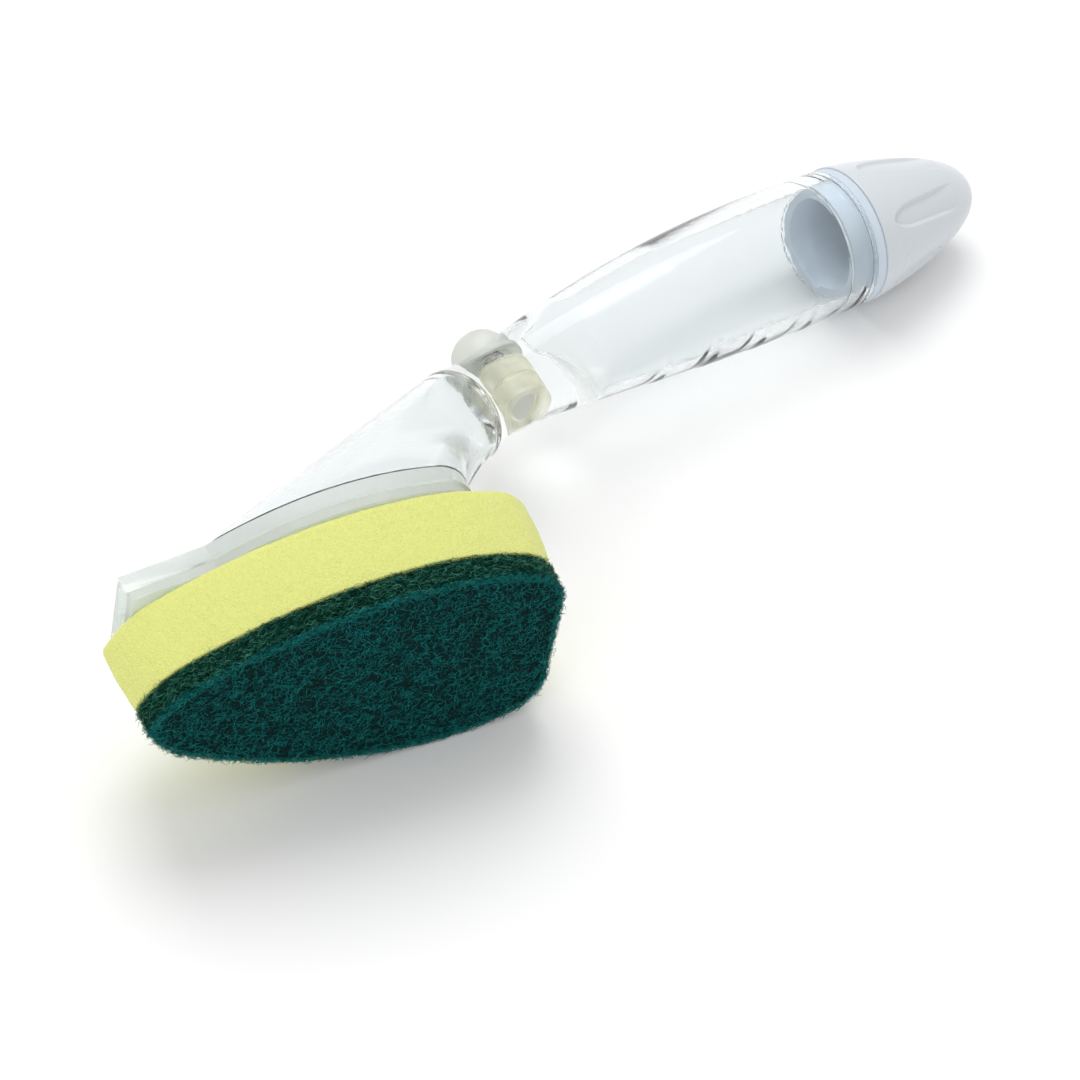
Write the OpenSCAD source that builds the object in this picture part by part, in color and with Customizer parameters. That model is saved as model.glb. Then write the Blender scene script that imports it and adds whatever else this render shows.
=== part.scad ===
// Dish wand: a clear hollow handle that holds dish soap, a press valve in the neck,
// a fan-shaped head and a slide-on refill with a foam sponge and a scrub pad.
// It is modelled upright on its scrub face, with +X from the head's tip to the end cap,
// and then laid on its side, as it rests on a table.

/* [Sponge] */
// Length of the foam and the scrub pad
sponge_len = 95; // [88:0.5:98]
// Half width of the scrub pad at its widest place
pad_half = 26.3; // [25.8:0.1:26.6]
// Half width of the scrub pad at its front tip
tip_half = 4.5; // [3:0.1:6]
// Half width of the scrub pad at its back end
back_half = 19.2; // [17:0.1:20]
// Thickness of the scrub pad
pad_t = 7.2; // [5:0.1:9]
// Thickness of the foam
foam_t = 18.3; // [14:0.1:19]
// How much wider the foam is at its top, on each side
foam_flare = 1.2; // [0:0.1:1.4]

/* [Head] */
// Half width of the head plate at its widest place
plate_half = 28.2; // [27.4:0.1:28.4]
// Thickness of the head plate
plate_t = 3.9; // [3.6:0.1:4.2]
// Thickness of the refill's carrier plate
carrier_t = 2.4; // [2.0:0.1:3.0]
// Half width of the straight front edge of the head plate
tongue_half = 13.4; // [12.6:0.1:14]

/* [Handle] */
// Radius of the neck at its slimmest place
neck_r = 9.8; // [9.6:0.1:10.2]
// Radius of the handle at its fullest place
grip_r = 16.9; // [16.4:0.1:17.4]
// Wall of the clear handle
wall = 2.2; // [2.0:0.1:2.4]
// Wall of the clear neck and fan
neck_wall = 1.8; // [1.6:0.1:2.0]
// Depth of the finger scallops under the handle
scallop_depth = 0.7; // [0:0.1:0.9]

/* [Cap] */
// Radius of the end cap at its rim
cap_r = 16.7; // [16.4:0.1:17.2]
// Length of the end cap
cap_len = 36.5; // [33:0.5:40]
// Number of flutes around the end cap
flutes = 6; // [4:1:7]

/* [Soap button] */
// Radius of the button's dome
button_r = 6.8; // [6.4:0.1:6.9]
// How far the button can be pressed
button_travel = 2.2; // [1.5:0.1:2.2]

/* [Resting pose] */
// Roll of the wand about its length, as it lies on its side
roll = 3.4; // [3:0.01:3.8]
// Tilt of the wand, with the cap down
tilt = 6.2; // [5.8:0.01:6.6]
// Distance that moves the origin to the middle of the wand's footprint
origin_x = 123.35; // [100:0.01:140]
// Distance that moves the origin sideways
origin_y = 55.84; // [40:0.01:60]
// Height that sets the wand's lowest point on the table
origin_z = 33.74; // [25:0.01:45]

/* [Hidden] */
$fn = 64;

// Clearances
rail_gap = 0.2;
face_gap = 0.1;
seat_gap = 0.05;

// Levels above the scrub face
foam_z = pad_t + foam_t;
carrier_top = foam_z + carrier_t;
plate_z = carrier_top + face_gap;
head_z = plate_z + plate_t;

// Head plate outline: a straight tongue, then a bow that is widest at plate_wide_x
tongue_x = 5.3;
tongue_slope = 0.22;
bow_x = 24.4;
plate_wide_x = 63;
bow_curve = 0.0071;
plate_back_x = 85;
plate_back_r = 9;
fan_front_x = 21;
fan_front_r = 6;
sponge_wide_x = 67;
sponge_tip_x = 1.4;
sponge_tip_r = 10.4;
sponge_back_r = 7.1;

// Handle axis: a cubic curve in the plane of symmetry, from the neck to the mouth
axis_ctrl = [[100, 66.7], [125, 79.8], [172, 88.8], [211.2, 96.6]];
neck_ring_r = 11.3;
neck_flare = 0.0135;
slim_x = 111;
full_x = 191;
full_to_mouth = 20;
mouth_narrowing = 0.5;
mouth = axis_ctrl[3];
mouth_tilt = atan2(axis_ctrl[3][1] - axis_ctrl[2][1], axis_ctrl[3][0] - axis_ctrl[2][0]);

// Fan: how the skin leaves the plate and meets the neck
lift_front = 4;
lift_back = 26;
lift_side = 4;
pull_front = 0.3;
pull_back = 0.8;

// Weld between neck and handle: a leaning plane
weld = [125.5, 77];
weld_lean = 35;

// Scallops: overlapping scoops under the handle; they start where the cosine of the angle from
// straight down passes scallop_edge, and their steps lean forward by scallop_lean up the sides
scallop_edge = 0.45;
scallop_lean = 3;
scallop_pitch = 13.6;
scallop_start = 137;
scallop_end = 207;

// Soap button frame: its axis leans back, its zero is on the neck's axis
button_at = [113.5, 72.6];
button_tilt = 10;
bore_r = 7.0;
dome_top = 15.4;
flange_r = 7.5;
flange_z = 4.6;
flange_t = 1.3;
groove_r = 7.8;
well_floor = -8.0;
body_top = 2.0;
body_r = bore_r - seat_gap;
chamber_r = 4.9;
guide_t = 1.4;
seat_z = -3.6;
seat_t = 1.0;
seat_r = 2.8;
stem_r = 1.5;
guide_r = stem_r + 0.06;
stem_top = 13.0;
disc_r = 4.0;
disc_t = 1.0;
head_t = 0.8;
cup_z = 8.4;
cup_t = 0.9;
cup_r = 4.7;
port_r = 1.4;
inlet_z = -1.0;
outlet_z = -5.6;

// End cap and mouth
collar_t = 2.4;
collar_gap = 0.2;
spigot_len = 5.4;
spigot_r = 13.4;
finish_r = 12.9;
finish_len = 8.5;
mouth_r = 11.2;
thread_crest = 13.85;
cap_root = 14.3;
cap_crest = 13.25;
thread_lead = 12;
thread_starts = 3;
seal_t = 1.4;
cap_power = 1.2;
cap_fullness = 0.41;

// Curves

function lerp(a, b, t) = a + (b - a) * t;

// A point of a cubic curve with four control points
function cubic(p, t) = pow(1 - t, 3) * p[0] + 3 * pow(1 - t, 2) * t * p[1]
    + 3 * (1 - t) * t * t * p[2] + pow(t, 3) * p[3];

// The curve's unit direction at the same place
function cubic_dir(p, t) =
    let (v = pow(1 - t, 2) * (p[1] - p[0]) + 2 * (1 - t) * t * (p[2] - p[1]) + t * t * (p[3] - p[2]))
    v / norm(v);

// Radius of the handle at a distance along the wand
function handle_r(x) = x < slim_x
    ? neck_r + neck_flare * pow(slim_x - x, 2)
    : neck_r + (grip_r - neck_r) * sin(90 * min(1, (x - slim_x) / (full_x - slim_x)))
      - mouth_narrowing * pow(max(0, (x - full_x) / full_to_mouth), 2);

// Depth of the scallops: a ramp that deepens towards the cap, under the handle only
function scallop(x, angle) =
    let (under = max(0, -cos(angle) - scallop_edge) / (1 - scallop_edge),
         place = (x - scallop_start + scallop_lean * (1 - under)) / scallop_pitch)
    x < scallop_start || x > scallop_end ? 0 : scallop_depth * min(1, 2 * under) * (place - floor(place));

// A ring of points around the handle's axis; angle 0 is the top
function handle_ring(t, inset, sides, grip) =
    let (c = cubic(axis_ctrl, t), d = cubic_dir(axis_ctrl, t), r = handle_r(c[0]) - inset)
    [for (i = [0 : sides - 1])
        let (a = 360 * i / sides, q = r - (grip ? scallop(c[0], a) : 0))
        [c[0] - q * cos(a) * d[1], q * sin(a), c[1] + q * cos(a) * d[0]]];

// Half width of an outline that is a bow with rounded ends
function rounded(h, from_end, r) = from_end < r ? h - r + sqrt(max(0, r * r - pow(r - from_end, 2))) : h;
function sponge_half_w(x) =
    let (ahead = (sponge_wide_x - x) / sponge_wide_x,
         behind = (x - sponge_wide_x) / (sponge_len - sponge_wide_x),
         h = x < sponge_wide_x
            ? pad_half - (pad_half - tip_half) * ahead * ahead
            : pad_half - (pad_half - back_half) * behind * behind)
    max(0.4, min(rounded(h, x, sponge_tip_r), rounded(h, sponge_len - x, sponge_back_r)));
function plate_bow(x) = x < bow_x
    ? tongue_half + tongue_slope * (x - tongue_x)
    : plate_half - bow_curve * pow(plate_wide_x - x, 2);
function plate_half_w(x) = rounded(plate_bow(x), plate_back_x - x, plate_back_r);
function fan_half_w(x) =
    max(0.2, min(rounded(plate_bow(x), x - fan_front_x, fan_front_r), plate_half_w(x)));

// Places along an outline, closer together at its ends
function spread(x0, x1, n) = [for (i = [0 : n]) (x0 + x1) / 2 - (x1 - x0) / 2 * cos(180 * i / n)];

// A closed outline from its half widths, first along one side and then back along the other
function sponge_outline(n, inset) =
    let (xs = spread(sponge_tip_x, sponge_len, n), k = 1 - inset / (sponge_len / 2), c = sponge_len / 2)
    concat([for (x = xs) [c + (x - c) * k, -max(0.2, sponge_half_w(x) - inset)]],
           [for (i = [n : -1 : 0]) [c + (xs[i] - c) * k, max(0.2, sponge_half_w(xs[i]) - inset)]]);
function plate_outline(n, inset) =
    let (xs = spread(tongue_x + inset, plate_back_x - inset, n))
    concat([for (x = xs) [x, -plate_inset_w(x, inset)]],
           [for (i = [n : -1 : 0]) [xs[i], plate_inset_w(xs[i], inset)]]);
function plate_inset_w(x, inset) =
    max(0.3, rounded(plate_bow(x) - inset, plate_back_x - inset - x, plate_back_r - inset));

// Half of the fan's foot, from the front to the back, as evenly spaced points
foot_n = 120;
foot_path = [for (x = spread(fan_front_x, plate_back_x, foot_n)) [x, fan_half_w(x)]];
foot_run = [for (i = 0, s = 0; i <= foot_n;
                 s = s + (i < foot_n ? norm(foot_path[i + 1] - foot_path[i]) : 0), i = i + 1) s];
function foot_at(f) = [for (k = [0, 1])
    lookup(f * foot_run[foot_n], [for (i = [0 : foot_n]) [foot_run[i], foot_path[i][k]]])];

// One ring of the fan: every point runs along its own curve from the foot to the neck
function fan_ring(s, inset, sides) =
    let (c = axis_ctrl[0], d = cubic_dir(axis_ctrl, 0), half = sides / 2,
         h1 = s * s * s - 2 * s * s + s, h2 = 3 * s * s - 2 * s * s * s, h3 = s * s * s - s * s,
         mid = (fan_front_x + plate_back_x) / 2)
    [for (i = [0 : sides - 1])
        let (f = 1 - abs(1 - i / half), side = i < half ? 1 : -1, a = 180 * f,
             foot = foot_at(f),
             k = 1 - inset / norm(foot - [mid, 0]),
             b = [mid + (foot[0] - mid) * k, side * foot[1] * k, head_z - inset],
             r = neck_ring_r - inset,
             e = [c[0] - r * cos(a) * d[1], side * r * sin(a), c[1] + r * cos(a) * d[0]],
             lift = lift_front * pow(1 - f, 2) + lift_back * f * f + lift_side * sin(a),
             pull = lerp(pull_front, pull_back, f) * norm(e - b))
        b + h2 * (e - b) + h1 * (e - b + [0, 0, lift]) + h3 * pull * [d[0], 0, d[1]]];

// Solids

// A closed skin over rings of equal count
module skin(rings) {
    n = len(rings[0]);
    m = len(rings);
    points = [for (ring = rings) each ring];
    sides = [for (j = [0 : m - 2], i = [0 : n - 1])
        let (a = j * n + i, b = j * n + (i + 1) % n)
        each [[a, b, b + n], [a, b + n, a + n]]];
    first = [[for (i = [n - 1 : -1 : 0]) i]];
    last = [[for (i = [0 : n - 1]) (m - 1) * n + i]];
    polyhedron(points, concat(first, sides, last), convexity = 6);
}

// Lays the upright wand on its side
module placed() {
    translate([-origin_x, -origin_y, origin_z])
        rotate([0, tilt, 0]) rotate([-90, 0, 0]) rotate([roll, 0, 0]) children();
}
module at_button() {
    translate([button_at[0], 0, button_at[1]]) rotate([0, -button_tilt, 0]) children();
}
module at_mouth() {
    translate([mouth[0], 0, mouth[1]]) rotate([0, 90 - mouth_tilt, 0]) children();
}

// A tube from z0 to z1
module tube(ro, ri, z0, z1) {
    rotate_extrude() translate([ri, z0]) square([ro - ri, z1 - z0]);
}
module rod(r, z0, z1) {
    translate([0, 0, z0]) cylinder(r = r, h = z1 - z0);
}
module o_ring(mid_r, section_r, z) {
    translate([0, 0, z]) rotate_extrude() translate([mid_r, 0]) circle(r = section_r, $fn = 24);
}

// Half of space on the handle's side of the weld
module behind_weld() {
    translate([weld[0], 0, weld[1]]) rotate([0, -weld_lean, 0])
        translate([0, -60, -120]) cube([240, 120, 240]);
}

// Soap channels: from the reservoir to the valve, and from the valve to the fan's hollow
inlet_r = 1.7;
module inlet_bore(len) {
    at_button() translate([0, 0, inlet_z]) rotate([0, 90, 0]) cylinder(r = inlet_r, h = len);
}
module outlet_bore(len) {
    at_button() translate([0, 0, outlet_z]) rotate([0, -90, 0]) cylinder(r = port_r, h = len);
}
module valve_ports() {
    translate([0, 0, inlet_z]) rotate([0, 90, 0]) cylinder(r = port_r, h = body_r + 1);
    translate([0, 0, outlet_z]) rotate([0, -90, 0]) cylinder(r = port_r, h = body_r + 1);
}

// Rows of rings, as parameters along the axis
outer_sides = 44;
inner_sides = 36;
handle_start = 0.15;

// Reservoir: a small round nose high in the handle, which opens out to the full bore
reservoir_start = 0.262;
reservoir_end = 0.93;
nose_x = cubic(axis_ctrl, reservoir_start)[0];
nose_r = 2.6;
nose_len = 3.2;
nose_slope = 0.1;
nose_rise = 0.62;
open_x = 125.5;
open_len = 9;
reservoir_rings = 28;
function ease(u) = let (v = min(1, max(0, u))) v * v * (3 - 2 * v);
function reservoir_r(x, full) =
    let (u = min(1, (x - nose_x) / nose_len), slim = nose_r + nose_slope * max(0, x - nose_x - nose_len))
    lerp(slim * sqrt(max(0.02, 1 - pow(1 - u, 2))), full, ease((x - open_x) / open_len));
function reservoir_ring(t) =
    let (c = cubic(axis_ctrl, t), d = cubic_dir(axis_ctrl, t),
         full = min(handle_r(c[0]) - wall, spigot_r), r = reservoir_r(c[0], full),
         rise = nose_rise * (full - r))
    [for (i = [0 : inner_sides - 1])
        let (a = 360 * i / inner_sides, q = rise + r * cos(a))
        [c[0] - q * d[1], r * sin(a), c[1] + q * d[0]]];

module handle_shell() {
    color("aliceblue", 0.35) placed() difference() {
        intersection() {
            skin([for (i = [0 : 32]) handle_ring(lerp(handle_start, 1, i / 32), 0, outer_sides, true)]);
            behind_weld();
            at_mouth() translate([-200, -200, -400]) cube([400, 400, 400 - collar_t - collar_gap]);
        }
        skin([for (i = [0 : reservoir_rings])
            reservoir_ring(lerp(reservoir_start, reservoir_end, pow(i / reservoir_rings, 2)))]);
        at_mouth() rod(spigot_r + seat_gap, -collar_t - collar_gap - spigot_len - 0.6, 1);
        inlet_bore(26);
    }
}

neck_end = 0.055;
module neck_shell() {
    color("aliceblue", 0.35) placed() difference() {
        intersection() {
            skin(concat([for (i = [0 : 12]) fan_ring(i / 12, 0, outer_sides)],
                        [for (i = [1 : 10]) handle_ring(i * 0.042, 0, outer_sides, false)]));
            difference() {
                translate([0, -60, head_z]) cube([200, 120, 100]);
                behind_weld();
            }
        }
        skin(concat([for (i = [0 : 9]) fan_ring(i / 9, neck_wall, inner_sides)],
                    [for (i = [1 : 3]) handle_ring(i * neck_end / 3, neck_wall, inner_sides, false)]));
        at_button() {
            rod(bore_r, well_floor, 30);
            rod(groove_r, flange_z - button_travel - 0.3, flange_z + flange_t + 0.1);
        }
        inlet_bore(18);
        outlet_bore(12);
    }
}

// Rails that hold the refill under the head plate
rail_y = 8;
rail_neck = 4;
rail_head = 7;
rail_neck_h = 1.2;
rail_head_h = 1.2;
rail_front = 9;
rail_back = 76;
outlet_at = 52;
outlet_r = 3.2;
outlet_flange_r = 5.5;
outlet_flange_t = 1.0;
outlet_slit = 4.4;
outlet_cut = 0.3;

module rail_slots() {
    for (y = [-rail_y, rail_y]) translate([0, y, 0]) {
        translate([0, -rail_neck / 2 - rail_gap, plate_z - 1])
            cube([rail_back + rail_gap, rail_neck + 2 * rail_gap, 1 + rail_neck_h + rail_gap]);
        translate([0, -rail_head / 2 - rail_gap, carrier_top + rail_neck_h - rail_gap])
            cube([rail_back + rail_gap, rail_head + 2 * rail_gap, rail_head_h + 2 * rail_gap]);
    }
}

module head_plate() {
    color("lightcyan", 0.5) placed() difference() {
        translate([0, 0, plate_z]) linear_extrude(plate_t) polygon(plate_outline(40, 0));
        rail_slots();
        translate([outlet_at, 0, 0]) {
            rod(outlet_r + seat_gap, plate_z - 1, head_z + 1);
            rod(outlet_flange_r + seat_gap, head_z - outlet_flange_t, head_z + 1);
        }
    }
}

module outlet_valve() {
    color("gainsboro") placed() translate([outlet_at, 0, 0]) difference() {
        union() {
            rod(outlet_flange_r, head_z - outlet_flange_t, head_z);
            rod(outlet_r, plate_z + 0.2, head_z - outlet_flange_t);
        }
        rod(outlet_r - 1, plate_z + 1.0, head_z + 1);
        for (a = [0, 90]) rotate([0, 0, a])
            translate([-outlet_slit / 2, -outlet_cut / 2, plate_z - 1]) cube([outlet_slit, outlet_cut, 4]);
    }
}

// Thread ridges of blunt section, each a skin along a helix
thread_steps = 14;
ridge_foot = 0.85;
ridge_top = 0.35;
ridge_z0 = 1.6;
ridge_z1 = 6.4;
ridge_root = 0.2;
module ridge(root, crest, turn0) {
    turn = 360 * (ridge_z1 - ridge_z0) / thread_lead;
    way = crest > root ? 1 : -1;
    section = [[root, -ridge_foot], [crest, -ridge_top], [crest, ridge_top], [root, ridge_foot]];
    skin([for (i = [0 : thread_steps])
        let (a = turn0 + turn * i / thread_steps, z = lerp(ridge_z0, ridge_z1, i / thread_steps))
        [for (p = section) [p[0] * cos(a), p[0] * sin(a), z + way * p[1]]]]);
}

module mouth_collar() {
    color("lightsteelblue", 0.6) placed() at_mouth() union() {
        tube(spigot_r, mouth_r, -collar_t - collar_gap - spigot_len, -collar_t - collar_gap);
        tube(handle_r(mouth[0]), mouth_r, -collar_t - collar_gap, -collar_gap);
        tube(finish_r, mouth_r, -collar_gap, finish_len);
        for (k = [0 : thread_starts - 1])
            ridge(finish_r - ridge_root, thread_crest, 360 * k / thread_starts);
    }
}

// Half profile of the end cap's outside
function cap_profile(a, r) = r * pow(max(0, 1 - pow(a / cap_len, cap_power)), cap_fullness);
seal_z = finish_len + face_gap;
cap_seat = seal_z + seal_t + face_gap;
cap_cavity_r = 11.4;
cap_cavity_top_r = 6.5;
cap_cavity_len = 15;

// One flute: a long scoop, narrow near the rim and wide towards the tip
flute_turn = 11;
flute_at = 4.2;
flute_len = 19;
flute_foot_r = 2.6;
flute_end_r = 7;
flute_depth = 1.1;
flute_fade = 0.7;
module flute() {
    foot_x = cap_profile(flute_at, cap_r) + flute_foot_r - flute_depth;
    end_x = cap_profile(flute_at + flute_len, cap_r) + flute_end_r - flute_fade;
    translate([foot_x, 0, flute_at])
        rotate([0, atan2(end_x - foot_x, flute_len), 0]) {
            sphere(r = flute_foot_r, $fn = 32);
            cylinder(r1 = flute_foot_r, r2 = flute_end_r, h = flute_len, $fn = 32);
        }
}

module end_cap() {
    color("ghostwhite") placed() at_mouth() difference() {
        union() {
            difference() {
                rotate_extrude() polygon(concat([[0, 0]], [for (i = [0 : 28])
                    let (a = cap_len * sin(90 * i / 28)) [cap_profile(a, cap_r), a]]));
                rod(cap_root, -1, cap_seat);
                translate([0, 0, cap_seat - 0.01])
                    cylinder(r1 = cap_cavity_r, r2 = cap_cavity_top_r, h = cap_cavity_len);
            }
            for (k = [0 : thread_starts - 1])
                ridge(cap_root + ridge_root, cap_crest, 360 * (k + 0.5) / thread_starts);
        }
        for (k = [0 : flutes - 1]) rotate([0, 0, flute_turn + 360 * k / flutes]) flute();
    }
}

seal_ro = 13.9;
seal_ri = 9.6;
module cap_seal() {
    color("whitesmoke") placed() at_mouth() tube(seal_ro, seal_ri, seal_z, seal_z + seal_t);
}

// Button: a skirt with a flange, and a blunt dome from dome_foot up
dome_foot = 9.6;
dome_power = 0.7;
dome_steps = 16;
skirt_wall = 1.6;
relief_ro = 4.6;
relief_ri = 2.7;
relief_roof = 2.2;
module soap_button() {
    flange_top = flange_z + flange_t;
    dome = [for (i = [0 : dome_steps - 1]) let (a = 90 * i / dome_steps)
        [button_r * pow(cos(a), dome_power), lerp(dome_foot, dome_top, sin(a))]];
    color("seashell") placed() at_button() difference() {
        union() {
            rod(flange_r, flange_z, flange_top);
            rotate_extrude()
                polygon(concat([[0, flange_top], [button_r, flange_top]], dome, [[0, dome_top]]));
        }
        rod(button_r - skirt_wall, flange_z - 1, cup_z + cup_t);
        tube(relief_ro, relief_ri, cup_z, dome_top - relief_roof);
        rod(stem_r + seat_gap, cup_z, stem_top + 0.1);
    }
}

module spring_cup() {
    color("white") placed() at_button() difference() {
        rod(cup_r, cup_z, cup_z + cup_t - face_gap / 2);
        rod(stem_r + seat_gap, cup_z - 1, cup_z + cup_t + 1);
    }
}

// Return spring: a wire swept along a helix
spring_r = 3.2;
wire_r = 0.3;
spring_turns = 4;
spring_steps = 14;
module return_spring() {
    z0 = body_top + wire_r + seat_gap;
    z1 = cup_z - wire_r - seat_gap;
    color("silver") placed() at_button() skin([for (i = [0 : spring_turns * spring_steps])
        let (a = 360 * i / spring_steps, z = lerp(z0, z1, i / (spring_turns * spring_steps)))
        [for (k = [0 : 5]) let (q = 60 * k, r = spring_r + wire_r * cos(q))
            [r * cos(a), r * sin(a), z + wire_r * sin(q)]]]);
}

module valve_stem() {
    color("white") placed() at_button() {
        rod(stem_r, seat_z - disc_t - 0.01, stem_top);
        rod(disc_r - 0.5, seat_z - disc_t - head_t, seat_z - disc_t);
    }
}

// Seals of round section, and the hair of room that each one has in its groove
seal_section = 0.55;
stem_section = 0.4;
seal_room = 0.02;
stem_seal_z = body_top - guide_t / 2;
upper_seal_z = 1.2;
lower_seal_z = -3.2;
module stem_seal() {
    color("wheat") placed() at_button() o_ring(stem_r + stem_section + seat_gap, stem_section, stem_seal_z);
}
module body_seal(z) {
    color("wheat") placed() at_button() o_ring(body_r - seal_section + seal_room, seal_section - seal_room, z);
}
module upper_body_seal() {
    body_seal(upper_seal_z);
}
module lower_body_seal() {
    body_seal(lower_seal_z);
}

module valve_disc() {
    color("gainsboro") placed() at_button()
        tube(disc_r, stem_r + seat_gap, seat_z - disc_t + seal_room, seat_z - seal_room);
}

module seal_groove(z, section, ri, ro) {
    tube(ro, ri, z - section - seat_gap, z + section + seat_gap);
}
module valve_body() {
    color("antiquewhite") placed() at_button() difference() {
        rod(body_r, well_floor + seat_gap, body_top);
        rod(chamber_r, seat_z + seat_t, body_top - guide_t);
        rod(chamber_r, well_floor - 1, seat_z);
        rod(seat_r, seat_z - 1, seat_z + seat_t + 1);
        rod(guide_r, 0, body_top + 1);
        seal_groove(stem_seal_z, stem_section, stem_r - 0.5, stem_r + 2 * (stem_section + seat_gap) + seat_gap);
        for (z = [upper_seal_z, lower_seal_z])
            seal_groove(z, seal_section, body_r - 2 * seal_section, body_r + 1);
        valve_ports();
    }
}

module carrier_plate() {
    color("azure", 0.7) placed() difference() {
        union() {
            translate([0, 0, foam_z]) linear_extrude(carrier_t) polygon(plate_outline(40, 0.8));
            for (y = [-rail_y, rail_y]) translate([0, y, 0]) {
                translate([rail_front, -rail_neck / 2, carrier_top - 0.5])
                    cube([rail_back - rail_front, rail_neck, 0.5 + rail_neck_h]);
                translate([rail_front, -rail_head / 2, carrier_top + rail_neck_h])
                    cube([rail_back - rail_front, rail_head, rail_head_h]);
            }
        }
        translate([outlet_at, 0, 0]) rod(outlet_r + 0.4, foam_z - 1, carrier_top + 1);
    }
}

// A slab between two outlines of equal count, its faces laid in strips across it
module slab(bottom, top, z0, z1) {
    m = len(bottom);
    points = concat([for (p = bottom) [p[0], p[1], z0]], [for (p = top) [p[0], p[1], z1]]);
    under = [for (i = [0 : m / 2 - 2]) [i, i + 1, m - 2 - i, m - 1 - i]];
    over = [for (i = [0 : m / 2 - 2]) [m + i, 2 * m - 1 - i, 2 * m - 2 - i, m + i + 1]];
    sides = [for (i = [0 : m - 1]) let (j = (i + 1) % m) each [[i, m + j, j], [i, m + i, m + j]]];
    polyhedron(points, concat(under, over, sides), convexity = 4);
}

// Foam: flared a little towards its top
module foam_sponge() {
    color("khaki") placed() slab(sponge_outline(26, 0), sponge_outline(26, -foam_flare), pad_t, foam_z);
}

module scrub_pad() {
    color("darkslategray") placed() linear_extrude(pad_t) polygon(sponge_outline(30, 0));
}

handle_shell();
neck_shell();
head_plate();
mouth_collar();
end_cap();
cap_seal();
soap_button();
spring_cup();
return_spring();
valve_stem();
stem_seal();
valve_disc();
valve_body();
upper_body_seal();
lower_body_seal();
outlet_valve();
carrier_plate();
foam_sponge();
scrub_pad();
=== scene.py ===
import bmesh
import bpy
import numpy as np
from mathutils import Matrix, Vector


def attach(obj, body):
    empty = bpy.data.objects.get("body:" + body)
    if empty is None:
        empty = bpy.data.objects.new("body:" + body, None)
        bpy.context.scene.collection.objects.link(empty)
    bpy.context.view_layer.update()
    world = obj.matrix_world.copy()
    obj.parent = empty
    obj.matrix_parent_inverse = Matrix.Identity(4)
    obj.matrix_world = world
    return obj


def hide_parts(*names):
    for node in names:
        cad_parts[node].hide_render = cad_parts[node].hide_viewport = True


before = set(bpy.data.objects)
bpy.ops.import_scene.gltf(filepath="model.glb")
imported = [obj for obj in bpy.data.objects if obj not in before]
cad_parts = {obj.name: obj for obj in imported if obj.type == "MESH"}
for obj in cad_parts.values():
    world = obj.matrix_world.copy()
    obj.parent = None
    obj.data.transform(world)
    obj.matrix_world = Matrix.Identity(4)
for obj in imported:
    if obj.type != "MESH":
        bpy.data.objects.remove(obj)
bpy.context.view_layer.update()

# Placement: shapes are worked out upright in millimetres, with the scrub face at z = 0 and +X from
# the head's tip to the end cap, and are then laid on their side as the CAD model is.
ROLL, TILT = np.radians(3.4), np.radians(6.2)
ORIGIN = np.array([-123.35, -55.84, 33.74])


def turn(axis, angle):
    """Matrix of a turn by an angle about the X or the Y axis."""
    c, s = np.cos(angle), np.sin(angle)
    if axis == "x":
        return np.array([[1, 0, 0], [0, c, -s], [0, s, c]])
    return np.array([[c, 0, s], [0, 1, 0], [-s, 0, c]])


LAY = turn("y", TILT) @ turn("x", -np.pi / 2) @ turn("x", ROLL)


def placed(points):
    """Upright points in millimetres become points of the CAD frame in metres."""
    return (points @ LAY.T + ORIGIN) / 1000


# Refill and head plate, in millimetres
SPONGE_LEN, SPONGE_HALF_W, SPONGE_WIDEST = 95.0, 26.3, 67
SPONGE_TIP_DRAW, SPONGE_BACK_DRAW = 21.8, 7.1  # how much the half width draws in at either end
SPONGE_TIP_R, SPONGE_BACK_R = 10.4, 7.1
SPONGE_FIRST_X = 1.4  # the outline starts here, where the round tip is already some width
SPONGE_SPINE = (14, 80)  # the faces close on this stretch of the middle line
PAD_T, FOAM_T, CARRIER_T, PLATE_T, PLATE_GAP = 7.2, 18.3, 2.4, 3.9, 0.1
HEAD_Z = PAD_T + FOAM_T + CARRIER_T + PLATE_GAP + PLATE_T
TONGUE_X, TONGUE_END, TONGUE_HALF_W, TONGUE_FLARE = 5.3, 24.4, 13.4, 0.22
BOW_X, BOW_HALF_W, BOW_CURVE = 63, 28.2, 0.0071

# Handle, neck and fan, in millimetres
AXIS = np.array([[100, 66.7], [125, 79.8], [172, 88.8], [211.2, 96.6]])
MOUTH_DIR = (AXIS[3] - AXIS[2]) / np.hypot(*(AXIS[3] - AXIS[2]))
MOUTH = np.array([AXIS[3][0], 0, AXIS[3][1]])
MOUTH_X = np.array([MOUTH_DIR[1], 0, -MOUTH_DIR[0]])
MOUTH_Z = np.array([MOUTH_DIR[0], 0, MOUTH_DIR[1]])
WALL, NECK_WALL, SPIGOT_R = 2.2, 1.8, 13.4
COLLAR_BACK, SPIGOT_LEN = 2.6, 9.0
NECK_R, NECK_X, NECK_FLARE = 9.8, 111, 0.0135
GRIP_RISE, GRIP_LEN, GRIP_DRAW, GRIP_DRAW_LEN = 7.1, 80, 0.5, 20
SCALLOP_FROM, SCALLOP_TO, SCALLOP_PITCH, SCALLOP_DEPTH = 137, 207, 13.6, 0.22
SCALLOP_EDGE, SCALLOP_LEAN, SCALLOP_RAMP = 0.45, 3, 0.88
FAN_FRONT, FAN_BACK, FAN_FRONT_R, FAN_BACK_R = 21, 85, 6, 9
FAN_MIDDLE, FAN_TOP_R, FAN_GAP = np.array([53.0, 0]), 11.3, 0.02
FAN_LIFT_FRONT, FAN_LIFT_BACK, FAN_LIFT_SIDES = 4, 26, 4
FAN_PULL_FRONT, FAN_PULL_BACK = 0.3, 0.8

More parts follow.
